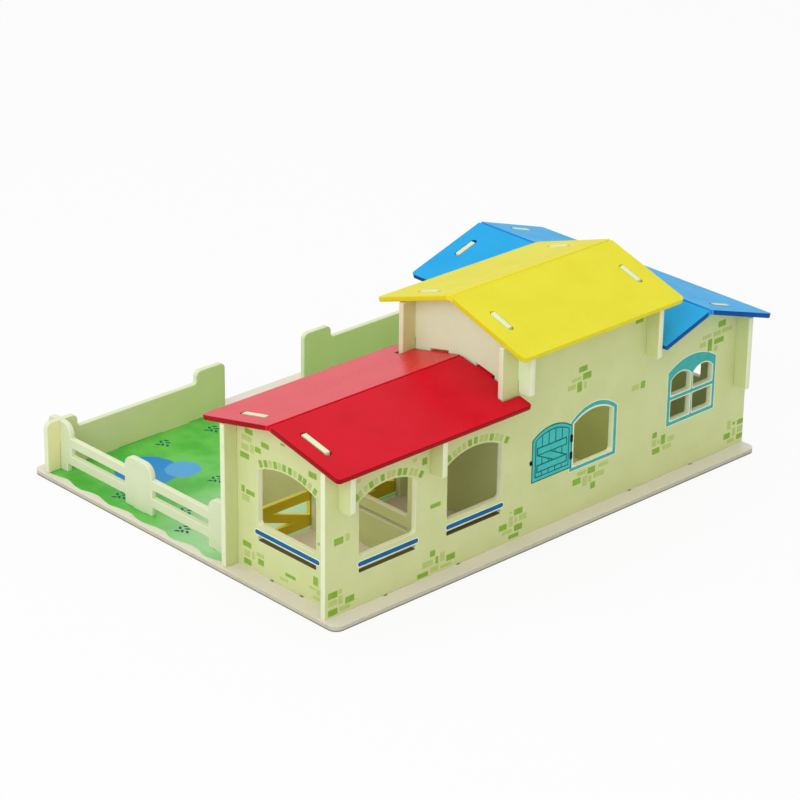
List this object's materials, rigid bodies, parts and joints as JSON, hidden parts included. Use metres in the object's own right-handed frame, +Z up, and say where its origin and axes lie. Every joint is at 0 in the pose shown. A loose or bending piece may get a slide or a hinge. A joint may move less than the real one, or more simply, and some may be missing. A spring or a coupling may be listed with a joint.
{
  "type": "toy barn",
  "caption": "Toy barn of slotted boards on a base board, with lift-off roof panels, open windows, hinged stall gates and a fenced yard.",
  "frame": {"origin": "middle of the base board's underside", "axes": "+X to the right along the long front wall, +Y from the front wall back towards the yard, +Z up"},
  "size_m": [0.6105, 0.4757, 0.2475],
  "materials": {
    "printed_meadow": "printed and lacquered board",
    "printed_cream": "printed and lacquered board",
    "red_lacquer": "satin lacquer",
    "yellow_lacquer": "satin lacquer",
    "blue_lacquer": "satin lacquer",
    "bare_wood": "smooth bare wood"
  },
  "bodies": {
    "barn": {"base_board": "printed_meadow", "front_wall": "printed_cream", "yard_wall": "printed_cream", "gable_wall": "printed_cream", "stall_partition": "printed_cream", "tall_left_wall": "printed_cream", "tall_right_wall": "printed_cream", "wing_end_wall": "printed_cream", "wing_back_wall": "printed_cream", "rail_fence": "printed_cream", "back_fence_left": "printed_cream", "back_fence_right": "printed_cream", "side_fence": "printed_cream", "first_gate_block": "bare_wood", "second_gate_block": "bare_wood"},
    "red_front_panel": {"red_roof_front": "red_lacquer"},
    "red_back_panel": {"red_roof_back": "red_lacquer"},
    "yellow_front_panel": {"yellow_roof_front": "yellow_lacquer"},
    "yellow_back_panel": {"yellow_roof_back": "yellow_lacquer"},
    "blue_left_panel": {"blue_roof_left": "blue_lacquer"},
    "blue_right_panel": {"blue_roof_right": "blue_lacquer"},
    "first_gate": {"first_gate_leaf": "yellow_lacquer", "first_gate_post": "bare_wood"},
    "second_gate": {"second_gate_leaf": "yellow_lacquer", "second_gate_post": "bare_wood"}
  },
  "joints": [
    {"name": "red_front_tilt", "type": "hinge", "parent": "barn", "child": "red_front_panel", "pos_m": [-0.0444, -0.137, 0.17], "axis": [0, 1, 0], "range_deg": [0, 6]},
    {"name": "red_back_tilt", "type": "hinge", "parent": "barn", "child": "red_back_panel", "pos_m": [-0.0444, -0.137, 0.17], "axis": [0, 1, 0], "range_deg": [0, 6]},
    {"name": "yellow_front_lift", "type": "slide", "parent": "barn", "child": "yellow_front_panel", "axis": [0, 0, 1], "range_m": [0, 0.06]},
    {"name": "yellow_back_lift", "type": "slide", "parent": "barn", "child": "yellow_back_panel", "axis": [0, 0, 1], "range_m": [0, 0.06]},
    {"name": "blue_left_lift", "type": "slide", "parent": "barn", "child": "blue_left_panel", "axis": [0, 0, 1], "range_m": [0, 0.03]},
    {"name": "blue_right_lift", "type": "slide", "parent": "barn", "child": "blue_right_panel", "axis": [0, 0, 1], "range_m": [0, 0.06]},
    {"name": "first_gate_swing", "type": "hinge", "parent": "barn", "child": "first_gate", "pos_m": [-0.1725, -0.0604, 0.0086], "axis": [0, 0, -1], "range_deg": [0, 105]},
    {"name": "second_gate_swing", "type": "hinge", "parent": "barn", "child": "second_gate", "pos_m": [-0.0575, -0.0604, 0.0086], "axis": [0, 0, -1], "range_deg": [0, 105]}
  ]
}
